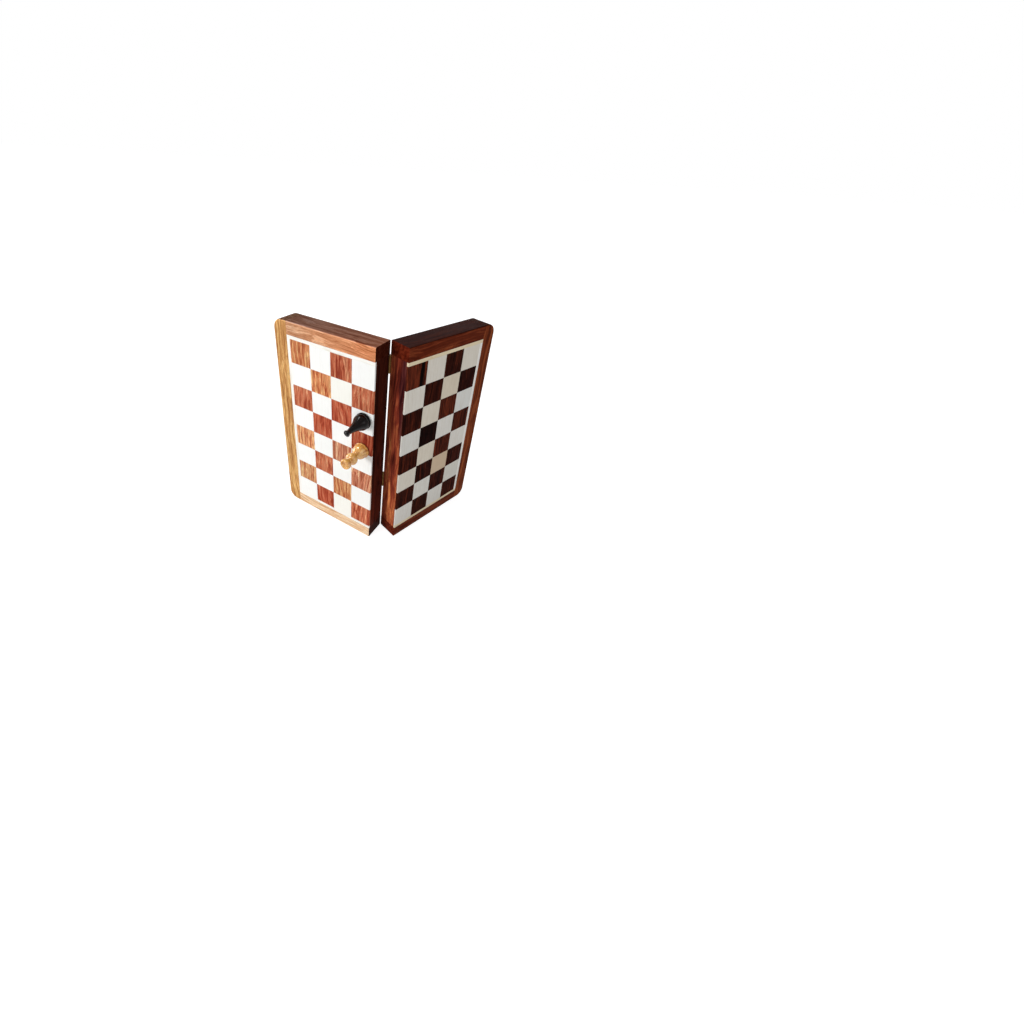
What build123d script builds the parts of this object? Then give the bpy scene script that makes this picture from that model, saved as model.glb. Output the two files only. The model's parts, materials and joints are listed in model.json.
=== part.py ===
from build123d import *
import math
import os

os.makedirs("parts", exist_ok=True)

# A folding wooden chess set. It stands on one end with its two halves folded back like the
# covers of a book, the playing faces outwards, and two magnetic pieces on the left face.
# Sizes are in millimetres and angles in degrees. +Z is up, and the viewer looks along +Y.

# Board
square = 27.0
ranks = 8
half_files = 4
border_width = 4.0
end_rail_width = 15.0
outer_rail_width = 18.0
spine_width = 12.0
corner_radius = 11.0
face_edge_radius = 1.6
rim_edge_radius = 0.8
spine_edge_radius = 0.4
seam_gap = 0.5
closing_gap = 1.0
fold_at_rest = 72.0

# Layers under the playing face, and the lining of the store
veneer = 2.0
steel = 0.5
ply = 3.5
lining = 0.7
groove_depth = 3.0
glue_gap = 0.05
inlay_gap = 0.06
steel_margin = 2.0

# Hinges
hinge_length = 20.0
upper_hinge_from_rail = 11.0
lower_hinge_from_rail = 62.0
leaf_width = 10.0
leaf_thickness = 0.9
knuckle_radius = 1.75
knuckles = 5
knuckle_gap = 0.12
pin_radius = 0.75
pin_play = 0.05
leaf_clearance = 0.15
screw_radius = 0.9
screw_head_radius = 1.7
screw_head_height = 0.8
screw_length = 8.0
screw_slot_width = 0.4
screw_slot_depth = 0.35
screw_edge = 3.6
screw_spread = 12.0

# Closing magnets in the outer rails
closing_magnet_radius = 3.0
closing_magnet_height = 3.0
closing_magnet_inset = 64.0
closing_magnet_sink = 0.2

# Store tray
foam = 12.0
foam_gap = 0.3
slot_gap = 0.4
slot_corner = 1.6
lining_gap = 0.1
officer_base_from_spine = 27.0
pawn_base_from_rail = 15.0
store_rim_gap = 0.55

# Pieces: shared sizes
felt = 0.8
felt_margin = 0.7
magnet_radius = 4.0
magnet_height = 3.0
magnet_play = 0.05
board_gap = 0.05
foot_height = 2.4
foot_round = 0.5
foot_step = 0.6
foot_groove = 0.7
base_pocket = 12.0

king_base_radius = 9.3
king_taper = 22.6
king_neck_radius = 2.6
king_crown_length = 4.0
king_crown_radius = 3.5
king_crown_edge = 0.5
king_button = 1.3

queen_base_radius = 9.1
queen_dome = 9.3
queen_waist = 3.2
queen_waist_radius = 3.6
queen_collar_length = 8.3
queen_collar_radius = 6.9
queen_neck = 1.2
queen_neck_radius = 3.2
queen_crown_length = 6.9
queen_crown_radius = 5.9
queen_lip = 1.0
queen_cup_radius = 4.4
queen_cup_depth = 2.6

bishop_base_radius = 8.2
bishop_taper = 12.7
bishop_neck_radius = 2.5
bishop_collar_length = 2.2
bishop_collar_radius = 5.0
bishop_throat = 0.8
bishop_head_length = 8.6
bishop_head_radius = 4.5
bishop_ball_radius = 1.3
bishop_slit = 0.9

rook_base_radius = 8.2
rook_taper = 10.1
rook_waist_radius = 4.3
rook_collar_length = 2.0
rook_collar_step = 1.3
rook_flare = 2.0
rook_tower_length = 7.3
rook_tower_radius = 6.2
rook_wall = 1.9
rook_well_depth = 3.0
rook_notch = 1.8
rook_notch_depth = 1.8
rook_notches = 3

knight_base_radius = 8.2
knight_plinth = 4.5
knight_plinth_radius = 6.4
knight_head_height = 19.9
knight_head_length = 13.7
knight_thickness = 8.4
knight_bevel = 1.3
knight_sink = 0.4

pawn_base_radius = 7.2
pawn_taper = 9.3
pawn_neck_radius = 2.4
pawn_collar_length = 2.0
pawn_collar_radius = 4.3
pawn_throat = 0.6
pawn_ball_radius = 3.9

# How the body of a turned piece narrows between its foot and its neck: points given as a
# share of the height between them and a share of the fall in radius still to come
king_bell = ((0.09, 1.05), (0.19, 0.97), (0.33, 0.72), (0.53, 0.41), (0.75, 0.18))
plain_taper = ((0.35, 0.61), (0.70, 0.15))

# The two pieces that stand on the left face: their distance from the spine edge, and their
# distance down from the first rank's outer edge
king_across = 11.0
king_down = 64.6
queen_across = 12.4
queen_down = 103.6

# Worked out from the sizes above
left, right = -1, 1
sides = {left: "left", right: "right"}
lean = math.radians(fold_at_rest / 2)
spine = seam_gap / 2
rim = closing_gap / 2
grid_width = half_files * square
grid_length = ranks * square
inner_length = grid_length + 2 * border_width
length = inner_length + 2 * end_rail_width
inner_edge = spine + grid_width + border_width
outer_edge = inner_edge + outer_rail_width
hinge_heights = {"upper": length - end_rail_width - upper_hinge_from_rail,
                 "lower": end_rail_width + lower_hinge_from_rail}
largest_base = max(king_base_radius, queen_base_radius, bishop_base_radius,
                   rook_base_radius, knight_base_radius, pawn_base_radius)
lining_face = rim + store_rim_gap + 2 * largest_base + lining_gap
ply_back = lining_face + lining
ply_front = ply_back + ply
steel_front = ply_front + steel
face = steel_front + veneer

# Levels on the turned pieces, over the board
foot_top = foot_height + foot_groove
king_neck_height = foot_top + king_taper
king_rim_height = king_neck_height + king_crown_length
king_height = king_rim_height + king_button
queen_waist_low = foot_top + queen_dome
queen_collar_low = queen_waist_low + queen_waist
queen_collar_high = queen_collar_low + queen_collar_length
queen_crown_low = queen_collar_high + queen_neck
queen_height = queen_crown_low + queen_crown_length
bishop_collar_low = foot_top + bishop_taper
bishop_collar_high = bishop_collar_low + bishop_collar_length
bishop_head_low = bishop_collar_high + bishop_throat
bishop_head_high = bishop_head_low + bishop_head_length
bishop_ball_middle = bishop_head_high + 0.6 * bishop_ball_radius
bishop_height = bishop_ball_middle + bishop_ball_radius
rook_collar_low = foot_top + rook_taper
rook_flare_low = rook_collar_low + rook_collar_length
rook_tower_low = rook_flare_low + rook_flare
rook_height = rook_tower_low + rook_tower_length
knight_plinth_height = foot_top + knight_plinth
knight_height = knight_plinth_height + knight_head_height
pawn_collar_low = foot_top + pawn_taper
pawn_collar_high = pawn_collar_low + pawn_collar_length
pawn_ball_low = pawn_collar_high + pawn_throat
pawn_ball_middle = pawn_ball_low + math.sqrt(pawn_ball_radius ** 2 - pawn_neck_radius ** 2)
pawn_height = pawn_ball_middle + pawn_ball_radius

# The set's middle lies over the origin. The hinge line stands in front of it by as much as
# the outer rails reach further back than the pieces reach forward.
back_reach = math.sin(lean) * outer_edge - math.cos(lean) * rim
king_reach = (math.cos(lean) * (face + board_gap + king_rim_height + king_crown_edge)
              - math.sin(lean) * (spine + king_across - king_crown_radius))
queen_rim_radius = queen_cup_radius + 0.7 * (queen_crown_radius - queen_cup_radius)
queen_rim_height = queen_height - 0.3 * queen_lip
queen_reach = (math.cos(lean) * (face + board_gap + queen_rim_height)
               - math.sin(lean) * (spine + queen_across - queen_rim_radius))
front_reach = max(king_reach, queen_reach)
axis_y = (front_reach - back_reach) / 2


def half_plane(side):
    """The frame of one half: x runs from the hinge line to the outer rail, and z from the
    hinge line towards the playing face. y is upwards on the right half and downwards on
    the left one, and is nought half way up."""
    return Plane(origin=(0, axis_y, length / 2),
                 x_dir=(side * math.cos(lean), math.sin(lean), 0),
                 z_dir=(side * math.sin(lean), -math.cos(lean), 0))


def from_top(side, down):
    """The y of a point this far below the top end of the set."""
    return side * (length / 2 - down)


def block(plane, x0, x1, y0, y1, z0, z1, mode=Mode.ADD):
    with BuildSketch(plane.offset(z0)) as outline:
        with Locations(((x0 + x1) / 2, (y0 + y1) / 2)):
            Rectangle(abs(x1 - x0), abs(y1 - y0))
    extrude(outline.sketch, amount=z1 - z0, mode=mode)


def disc(plane, x, y, radius, z0, z1, mode=Mode.ADD):
    with BuildSketch(plane.offset(z0)) as outline:
        with Locations((x, y)):
            Circle(radius)
    extrude(outline.sketch, amount=z1 - z0, mode=mode)


def keep(name, part):
    part.label = name
    export_step(part, "parts/" + name + ".step")


def hinge_middles(side):
    return [from_top(side, length - height) for height in hinge_heights.values()]


def screw_places(side):
    spots = []
    for middle in hinge_middles(side):
        for step in (-screw_spread / 2, screw_spread / 2):
            spots.append((spine + leaf_width - screw_edge, middle + step))
    return spots


def closing_magnet_places(side):
    x = (inner_edge + outer_edge) / 2
    return [(x, y) for y in (-closing_magnet_inset, closing_magnet_inset)]


# Rails

def make_outer_rail(side):
    plane = half_plane(side)
    with BuildPart() as outer_rail:
        with BuildSketch(plane.offset(rim)) as outline:
            with Locations(((inner_edge + outer_edge) / 2, 0)):
                Rectangle(outer_rail_width, length)
            corners = outline.vertices().sort_by(Axis.X)[-2:]
            fillet(corners, corner_radius)
        extrude(outline.sketch, amount=face - rim)
        normal = Axis(plane.origin, plane.z_dir)
        across = Axis(plane.origin, plane.x_dir)
        top_edges = outer_rail.faces().sort_by(normal)[-1].edges().sort_by(across)[1:]
        fillet(top_edges, face_edge_radius)
        low_edges = outer_rail.faces().sort_by(normal)[0].edges().sort_by(across)[1:]
        fillet(low_edges, rim_edge_radius)
        block(plane, inner_edge - 1, inner_edge + groove_depth,
              -inner_length / 2 - groove_depth, inner_length / 2 + groove_depth,
              ply_back - glue_gap, ply_front + glue_gap, Mode.SUBTRACT)
        for x, y in closing_magnet_places(side):
            disc(plane, x, y, closing_magnet_radius + glue_gap, rim,
                 rim + closing_magnet_sink + closing_magnet_height + glue_gap, Mode.SUBTRACT)
    return outer_rail.part


def make_end_rail(side, end):
    """end is 1 for the rail at the positive y end of the half and -1 for the other."""
    plane = half_plane(side)
    inner = end * inner_length / 2
    outer = end * length / 2
    with BuildPart() as end_rail:
        block(plane, spine, inner_edge - glue_gap, inner, outer, rim, face)
        along = end_rail.edges().filter_by(Axis(plane.origin, plane.x_dir))
        outward = Axis(plane.origin, plane.y_dir * end)
        outside = along.sort_by(outward)[-2:].sort_by(Axis(plane.origin, plane.z_dir))
        fillet(outside[-1], face_edge_radius)
        fillet(outside[0], rim_edge_radius)
        block(plane, spine + spine_width - groove_depth, inner_edge,
              inner - end, inner + end * groove_depth,
              ply_back - glue_gap, ply_front + glue_gap, Mode.SUBTRACT)
    return end_rail.part


def make_spine_rail(side):
    plane = half_plane(side)
    half = inner_length / 2 - glue_gap
    with BuildPart() as spine_rail:
        block(plane, spine, spine + spine_width, -half, half, rim, steel_front)
        upright = spine_rail.edges().filter_by(Axis(plane.origin, plane.y_dir))
        edge = upright.sort_by(Axis(plane.origin, plane.z_dir))[:2]
        fillet(edge.sort_by(Axis(plane.origin, plane.x_dir))[0], spine_edge_radius)
        block(plane, spine + steel_margin - glue_gap, spine + spine_width + 1,
              -half - 1, half + 1, ply_front - glue_gap, steel_front + 1, Mode.SUBTRACT)
        block(plane, spine + spine_width - groove_depth, spine + spine_width + 1,
              -half - 1, half + 1, ply_back - glue_gap, ply_front + 1, Mode.SUBTRACT)
        for middle in hinge_middles(side):
            low = middle - hinge_length / 2 - leaf_clearance
            high = middle + hinge_length / 2 + leaf_clearance
            block(plane, 0, spine + leaf_width + leaf_clearance, low, high,
                  0, rim + leaf_thickness + glue_gap, Mode.SUBTRACT)
            with BuildSketch(Plane(plane.from_local_coords((0, low, 0)),
                                   x_dir=plane.x_dir, z_dir=plane.y_dir)) as knuckle_room:
                Circle(knuckle_radius + leaf_clearance)
            extrude(knuckle_room.sketch, amount=high - low, mode=Mode.SUBTRACT)
        for x, y in screw_places(side):
            disc(plane, x, y, screw_radius + glue_gap, rim,
                 rim + screw_length + glue_gap, Mode.SUBTRACT)
    return spine_rail.part


# Playing face

def make_panel(side):
    plane = half_plane(side)
    half = inner_length / 2 + groove_depth - glue_gap
    with BuildPart() as panel:
        block(plane, spine + spine_width - groove_depth + glue_gap,
              inner_edge + groove_depth - glue_gap, -half, half, ply_back, ply_front)
    return panel.part


def make_steel_sheet(side):
    plane = half_plane(side)
    half = inner_length / 2 - glue_gap
    with BuildPart() as sheet:
        block(plane, spine + steel_margin, inner_edge - glue_gap, -half, half,
              ply_front, steel_front)
    return sheet.part


def make_border_strips(side):
    plane = half_plane(side)
    half_grid = grid_length / 2
    half_inner = inner_length / 2 - glue_gap
    grid_edge = spine + grid_width
    with BuildPart() as strips:
        block(plane, grid_edge + inlay_gap / 2, inner_edge - glue_gap,
              -half_inner, half_inner, steel_front, face)
        for end in (-1, 1):
            block(plane, spine, grid_edge - inlay_gap / 2,
                  end * (half_grid + inlay_gap / 2), end * half_inner, steel_front, face)
    return strips.part


def is_dark(side, rank, file):
    """rank counts down from the top, and file counts out from the spine."""
    return (rank + file) % 2 == (1 if side == left else 0)


def make_squares(side, dark):
    plane = half_plane(side)
    size = square - inlay_gap
    with BuildPart() as squares:
        with BuildSketch(plane.offset(steel_front)) as outline:
            for rank in range(ranks):
                for file in range(half_files):
                    if is_dark(side, rank, file) == dark:
                        x = spine + (file + 0.5) * square
                        y = side * (grid_length / 2 - (rank + 0.5) * square)
                        with Locations((x, y)):
                            Rectangle(size, size)
        extrude(outline.sketch, amount=veneer)
    return squares.part


# Hinges and fastenings

def make_leaf(side, middle_height):
    """One leaf of a butt hinge: a plate let into the rim and its share of the knuckles.
    The left leaf holds the first, third and fifth knuckle from the top."""
    plane = half_plane(side)
    step = hinge_length / knuckles
    top = middle_height + hinge_length / 2
    own = [n for n in range(knuckles) if (n % 2 == 0) == (side == left)]
    with BuildPart() as leaf:
        y_mid = side * (middle_height - length / 2)
        block(plane, spine, spine + leaf_width, y_mid - hinge_length / 2,
              y_mid + hinge_length / 2, rim, rim + leaf_thickness)
        for n in range(knuckles):
            room = knuckle_radius if n in own else knuckle_radius + leaf_clearance
            spare = 0 if n in own else knuckle_gap
            low = Plane((0, axis_y, top - (n + 1) * step - spare), z_dir=(0, 0, 1))
            with BuildSketch(low) as barrel:
                Circle(room)
            extrude(barrel.sketch, amount=step + 2 * spare,
                    mode=Mode.ADD if n in own else Mode.SUBTRACT)
        for n in own:
            if n > 0:
                trim = Plane((0, axis_y, top - n * step - knuckle_gap / 2), z_dir=(0, 0, 1))
                with BuildSketch(trim) as above:
                    Circle(knuckle_radius + leaf_clearance)
                extrude(above.sketch, amount=knuckle_gap, mode=Mode.SUBTRACT)
        bottom = Plane((0, axis_y, top - hinge_length - 1), z_dir=(0, 0, 1))
        with BuildSketch(bottom) as bore:
            Circle(pin_radius + pin_play)
        extrude(bore.sketch, amount=hinge_length + 2, mode=Mode.SUBTRACT)
        for x, y in screw_places(side):
            if abs(y - y_mid) < hinge_length / 2:
                with BuildSketch(plane.offset(rim)) as mouth:
                    with Locations((x, y)):
                        Circle(screw_head_radius + glue_gap)
                with BuildSketch(plane.offset(rim + screw_head_height)) as throat:
                    with Locations((x, y)):
                        Circle(screw_radius + glue_gap)
                loft([mouth.sketch.face(), throat.sketch.face()], mode=Mode.SUBTRACT)
                disc(plane, x, y, screw_radius + glue_gap, rim, rim + leaf_thickness,
                     Mode.SUBTRACT)
    return leaf.part


def make_pin(middle_height):
    with BuildPart() as pin:
        foot = Plane((0, axis_y, middle_height - hinge_length / 2), z_dir=(0, 0, 1))
        with BuildSketch(foot) as outline:
            Circle(pin_radius)
        extrude(outline.sketch, amount=hinge_length)
        chamfer(pin.edges(), pin_radius / 4)
    return pin.part


def make_screws(side):
    plane = half_plane(side)
    with BuildPart() as screws:
        for x, y in screw_places(side):
            with BuildSketch(plane.offset(rim)) as head:
                with Locations((x, y)):
                    Circle(screw_head_radius)
            with BuildSketch(plane.offset(rim + screw_head_height)) as neck:
                with Locations((x, y)):
                    Circle(screw_radius)
            loft([head.sketch.face(), neck.sketch.face()])
            disc(plane, x, y, screw_radius, rim + screw_head_height, rim + screw_length)
            block(plane, x - screw_head_radius - 1, x + screw_head_radius + 1,
                  y - screw_slot_width / 2, y + screw_slot_width / 2,
                  rim, rim + screw_slot_depth, Mode.SUBTRACT)
    return screws.part


def make_closing_magnets(side):
    plane = half_plane(side)
    with BuildPart() as magnets:
        for x, y in closing_magnet_places(side):
            low = rim + closing_magnet_sink
            disc(plane, x, y, closing_magnet_radius, low, low + closing_magnet_height)
    return magnets.part


# Profiles of the turned pieces: the radius against the height over the board

def foot_lines(base_radius):
    """From the middle of the underside, round the foot's disc, to the groove above it."""
    corner = foot_round * (1 - math.sqrt(0.5))
    Polyline((0, felt), (base_radius - foot_round, felt))
    ThreePointArc((base_radius - foot_round, felt), (base_radius - corner, felt + corner),
                  (base_radius, felt + foot_round))
    Line((base_radius, felt + foot_round), (base_radius, foot_height))
    ThreePointArc((base_radius, foot_height),
                  (base_radius - foot_step * 1.2, foot_height + foot_groove / 2),
                  (base_radius - foot_step, foot_top))
    return base_radius - foot_step, foot_top


def level_arc(start, end_height):
    """An arc from start to the axis at end_height, level where it meets the axis."""
    x, y = start
    rise = end_height - y
    way = math.copysign(1, rise)
    radius = (x * x + rise * rise) / (2 * abs(rise))
    middle = end_height - way * radius
    half = math.atan2(x, way * (y - middle)) / 2
    ThreePointArc(start, (radius * math.sin(half), middle + way * radius * math.cos(half)),
                  (0, end_height))


def taper(start, end, shape):
    """The narrowing body from start to end, which stands upright at its top."""
    points = [(end[0] + fall * (start[0] - end[0]), start[1] + rise * (end[1] - start[1]))
              for rise, fall in shape]
    Spline(start, *points, end, tangents=((0, 1), (0, 1)))


def king_profile():
    neck = (king_neck_radius, king_neck_height)
    taper(foot_lines(king_base_radius), neck, king_bell)
    lip = (king_crown_radius, king_rim_height)
    middle = (king_neck_height + king_rim_height) / 2
    ThreePointArc(neck, (king_neck_radius + 0.3 * (lip[0] - neck[0]), middle), lip)
    edge = (king_crown_radius, king_rim_height + king_crown_edge)
    dish = (king_crown_radius * 0.6, king_rim_height + king_crown_edge / 2)
    Polyline(lip, edge, (king_crown_radius * 0.8, edge[1]), dish)
    level_arc(dish, king_height)
    Line((0, king_height), (0, felt))


def queen_profile():
    start = foot_lines(queen_base_radius)
    waist = (queen_waist_radius, queen_waist_low)
    shoulder = (queen_base_radius * 0.78, foot_top + 0.63 * queen_dome)
    ThreePointArc(start, shoulder, waist)
    low = (queen_waist_radius + queen_waist / 5, queen_collar_low)
    high = (queen_neck_radius + queen_neck / 2, queen_collar_high)
    ThreePointArc(waist, (queen_waist_radius, (queen_waist_low + queen_collar_low) / 2), low)
    ThreePointArc(low, (queen_collar_radius, (queen_collar_low + queen_collar_high) / 2), high)
    throat = (queen_neck_radius, queen_crown_low)
    Line(high, throat)
    lip = (queen_crown_radius, queen_height - queen_lip)
    swell = queen_neck_radius + 0.78 * (queen_crown_radius - queen_neck_radius)
    ThreePointArc(throat, (swell, queen_crown_low + queen_crown_length / 3), lip)
    cup = (queen_cup_radius, queen_height)
    ThreePointArc(lip, (queen_rim_radius, queen_rim_height), cup)
    floor = queen_height - queen_cup_depth
    level_arc(cup, floor)
    Line((0, floor), (0, felt))


def bishop_profile():
    neck = (bishop_neck_radius * 1.2, bishop_collar_low)
    taper(foot_lines(bishop_base_radius), neck, plain_taper)
    throat = (bishop_neck_radius, bishop_collar_high)
    middle = (bishop_collar_low + bishop_collar_high) / 2
    ThreePointArc(neck, (bishop_collar_radius, middle), throat)
    shoulder = (bishop_neck_radius, bishop_head_low)
    Line(throat, shoulder)
    crown = (bishop_ball_radius * 0.8, bishop_head_high)
    widest = (bishop_head_radius, bishop_head_low + 0.44 * bishop_head_length)
    Spline(shoulder, widest, crown, tangents=((1, 0.5), (-0.5, 1)))
    ThreePointArc(crown, (bishop_ball_radius, bishop_ball_middle), (0, bishop_height))
    Line((0, bishop_height), (0, felt))


def rook_profile():
    waist = (rook_waist_radius, rook_collar_low)
    taper(foot_lines(rook_base_radius), waist, plain_taper[:1])
    collar = (rook_waist_radius + rook_collar_step, rook_collar_low + 0.6 * rook_collar_length)
    well = rook_tower_radius - rook_wall
    Polyline(waist, collar, (rook_waist_radius + 0.4 * rook_collar_step, rook_flare_low),
             (rook_tower_radius, rook_tower_low), (rook_tower_radius, rook_height),
             (well, rook_height), (well, rook_height - rook_well_depth),
             (0, rook_height - rook_well_depth), (0, felt))


def pawn_profile():
    neck = (pawn_neck_radius, pawn_collar_low)
    taper(foot_lines(pawn_base_radius), neck, plain_taper)
    throat = (pawn_neck_radius, pawn_collar_high)
    middle = (pawn_collar_low + pawn_collar_high) / 2
    ThreePointArc(neck, (pawn_collar_radius, middle), throat)
    meet = (pawn_neck_radius, pawn_ball_low)
    Line(throat, meet)
    ThreePointArc(meet, (pawn_ball_radius, pawn_ball_middle), (0, pawn_height))
    Line((0, pawn_height), (0, felt))


def knight_plinth_profile():
    start = foot_lines(knight_base_radius)
    top = (knight_plinth_radius, knight_plinth_height)
    swell = (knight_plinth_radius + 0.8 * (start[0] - knight_plinth_radius),
             foot_top + 0.7 * knight_plinth)
    ThreePointArc(start, swell, top)
    Polyline(top, (0, knight_plinth_height), (0, felt))


def turn(plane, profile):
    """Turns a profile about the plane's y direction, and bores the magnet's pocket."""
    with BuildSketch(plane) as outline:
        with BuildLine():
            profile()
        make_face()
    spindle = Axis(plane.origin, plane.y_dir)
    revolve(outline.sketch, axis=spindle)
    drill_magnet_pocket(plane)


def drill_magnet_pocket(plane):
    underside = Plane(plane.origin, x_dir=plane.x_dir, z_dir=plane.y_dir)
    disc(underside, 0, 0, magnet_radius + magnet_play, felt,
         felt + magnet_height + 2 * magnet_play, Mode.SUBTRACT)


def cut_bishop_slit(plane):
    """The slanting cut in the bishop's head, from its front."""
    cut_height = bishop_head_low + 0.58 * bishop_head_length
    middle = plane.from_local_coords((bishop_head_radius * 0.62, cut_height, 0))
    slant = Plane(middle, x_dir=plane.z_dir, z_dir=plane.y_dir + plane.x_dir)
    with BuildSketch(slant) as outline:
        Rectangle(4 * bishop_head_radius, bishop_head_radius)
    extrude(outline.sketch, amount=bishop_slit / 2, both=True, mode=Mode.SUBTRACT)


def cut_rook_notches(plane):
    top = Plane(plane.origin, x_dir=plane.x_dir, z_dir=plane.y_dir).offset(rook_height)
    with BuildSketch(top) as outline:
        with PolarLocations(0, rook_notches, 0, 180, endpoint=False):
            Rectangle(4 * rook_tower_radius, rook_notch)
    extrude(outline.sketch, amount=-rook_notch_depth, mode=Mode.SUBTRACT)


def horse_outline(plane, size):
    """A horse's head and neck seen from the side, looking along +x. Each point is a share of
    the head's length and of its height over the plinth, and size shrinks it to its middle."""
    def at(along, up):
        return (size * along * knight_head_length,
                knight_plinth_height + (0.35 + size * (up - 0.35)) * knight_head_height)
    sunk = -knight_sink / knight_head_height
    with BuildSketch(plane) as outline:
        with BuildLine():
            Spline(at(-0.39, sunk), at(-0.45, 0.27), at(-0.36, 0.60), at(-0.12, 0.85))
            Polyline(at(-0.12, 0.85), at(-0.05, 1.0), at(0.07, 0.85))
            Spline(at(0.07, 0.85), at(0.26, 0.71), at(0.50, 0.50))
            ThreePointArc(at(0.50, 0.50), at(0.55, 0.42), at(0.45, 0.36))
            Spline(at(0.45, 0.36), at(0.28, 0.39), at(0.16, 0.35), at(0.21, 0.21),
                   at(0.36, sunk))
            Line(at(0.36, sunk), at(-0.39, sunk))
        make_face()
    return outline.sketch.face()


def add_horse(plane):
    """The knight's head: a slab between two cheeks that narrow by the bevel."""
    cheek = knight_thickness / 2 - knight_bevel
    narrowed = 1 - 2 * knight_bevel / knight_head_height
    slab = horse_outline(plane.offset(-cheek), 1)
    extrude(slab, amount=2 * cheek, dir=plane.z_dir)
    for way in (-1, 1):
        inner = horse_outline(plane.offset(way * cheek), 1)
        outer = horse_outline(plane.offset(way * knight_thickness / 2), narrowed)
        loft([inner, outer], ruled=True)


def make_pieces(kind, planes):
    profiles = {"king": king_profile, "queen": queen_profile, "bishop": bishop_profile,
                "rook": rook_profile, "pawn": pawn_profile, "knight": knight_plinth_profile}
    with BuildPart() as pieces:
        for plane in planes:
            turn(plane, profiles[kind])
            if kind == "bishop":
                cut_bishop_slit(plane)
            if kind == "rook":
                cut_rook_notches(plane)
            if kind == "knight":
                add_horse(plane)
    return pieces.part


def make_magnets(planes):
    with BuildPart() as magnets:
        for plane in planes:
            underside = Plane(plane.origin, x_dir=plane.x_dir, z_dir=plane.y_dir)
            disc(underside, 0, 0, magnet_radius, felt + magnet_play,
                 felt + magnet_play + magnet_height)
    return magnets.part


def make_felts(planes_and_radii):
    with BuildPart() as felts:
        for plane, radius in planes_and_radii:
            underside = Plane(plane.origin, x_dir=plane.x_dir, z_dir=plane.y_dir)
            disc(underside, 0, 0, radius - felt_margin, 0, felt)
    return felts.part


# Where each piece lies. The officers lie in the row beside the spine and the pawns in the
# row beside the outer rail, with their heads towards each other.

base_radii = {"king": king_base_radius, "queen": queen_base_radius,
              "bishop": bishop_base_radius, "rook": rook_base_radius,
              "pawn": pawn_base_radius, "knight": knight_base_radius}
heights = {"king": king_height, "queen": queen_height, "bishop": bishop_height,
           "rook": rook_height, "pawn": pawn_height, "knight": knight_height}
king_bell_radius = king_neck_radius + 0.72 * (king_base_radius - king_neck_radius)
body_radii = {"king": max(king_bell_radius, king_crown_radius),
              "queen": max(queen_collar_radius, queen_crown_radius),
              "bishop": max(bishop_collar_radius, bishop_head_radius),
              "rook": max(rook_waist_radius + rook_collar_step, rook_tower_radius),
              "pawn": max(pawn_collar_radius, pawn_ball_radius),
              "knight": knight_base_radius}
officers = ["rook", "knight", "bishop", "queen", "king", "bishop", "knight", "rook"]
on_the_board = {left: "king", right: "queen"}


def slots(side):
    """Each slot's kind, the x and y of its piece's foot, and the way its head points."""
    pitch = inner_length / ranks
    places = []
    for row in range(ranks):
        y = side * (inner_length / 2 - (row + 0.5) * pitch)
        places.append((officers[row], spine + officer_base_from_spine, y, 1))
        places.append(("pawn", inner_edge - pawn_base_from_rail, y, -1))
    return places


def lying_plane(side, kind, x, y, way):
    """A piece on its side on the lining: the plane's y is its axis and x points upwards."""
    plane = half_plane(side)
    depth = lining_face - lining_gap - base_radii[kind]
    foot = plane.from_local_coords((x, y, depth))
    axis = plane.x_dir * way
    up = Vector(0, 0, 1)
    return Plane(foot, x_dir=up, z_dir=up.cross(axis))


def standing_plane(across, down):
    """A piece standing on the left half's playing face: the plane's y is its axis."""
    plane = half_plane(left)
    y = from_top(left, end_rail_width + border_width + down)
    foot = plane.from_local_coords((spine + across, y, face + board_gap))
    return Plane(foot, x_dir=plane.x_dir, z_dir=plane.x_dir.cross(plane.z_dir))


def make_tray(side):
    plane = half_plane(side)
    x0 = spine + spine_width + foam_gap
    x1 = inner_edge - foam_gap
    half = inner_length / 2 - foam_gap
    back = lining_face - foam
    with BuildPart() as tray:
        block(plane, x0, x1, -half, half, back, lining_face)
        for kind, x, y, way in slots(side):
            base = base_radii[kind] + slot_gap
            body = body_radii[kind] + slot_gap
            end = x + way * (heights[kind] + slot_gap)
            start = x - way * slot_gap
            step = x + way * base_pocket
            with BuildSketch(plane.offset(back)) as mouth:
                with Locations(((start + step) / 2, y)):
                    RectangleRounded(abs(step - start), 2 * base, slot_corner)
                with Locations(((x + end) / 2, y)):
                    RectangleRounded(abs(end - x), 2 * body, slot_corner)
            extrude(mouth.sketch, amount=foam, mode=Mode.SUBTRACT)
    return tray.part


def make_lining(side):
    plane = half_plane(side)
    half = inner_length / 2 - foam_gap
    with BuildPart() as sheet:
        block(plane, spine + spine_width + foam_gap, inner_edge - foam_gap, -half, half,
              lining_face, ply_back)
    return sheet.part


# Both halves

for side, name in sides.items():
    top_end = side
    keep(name + "_outer_rail", make_outer_rail(side))
    keep(name + "_top_rail", make_end_rail(side, top_end))
    keep(name + "_bottom_rail", make_end_rail(side, -top_end))
    keep(name + "_spine_rail", make_spine_rail(side))
    keep(name + "_panel", make_panel(side))
    keep(name + "_steel_sheet", make_steel_sheet(side))
    keep(name + "_border_strips", make_border_strips(side))
    keep(name + "_light_squares", make_squares(side, False))
    keep(name + "_dark_squares", make_squares(side, True))
    keep(name + "_foam_tray", make_tray(side))
    keep(name + "_tray_lining", make_lining(side))
    keep(name + "_closing_magnets", make_closing_magnets(side))
    keep(name + "_hinge_screws", make_screws(side))

# The two hinges

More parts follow.
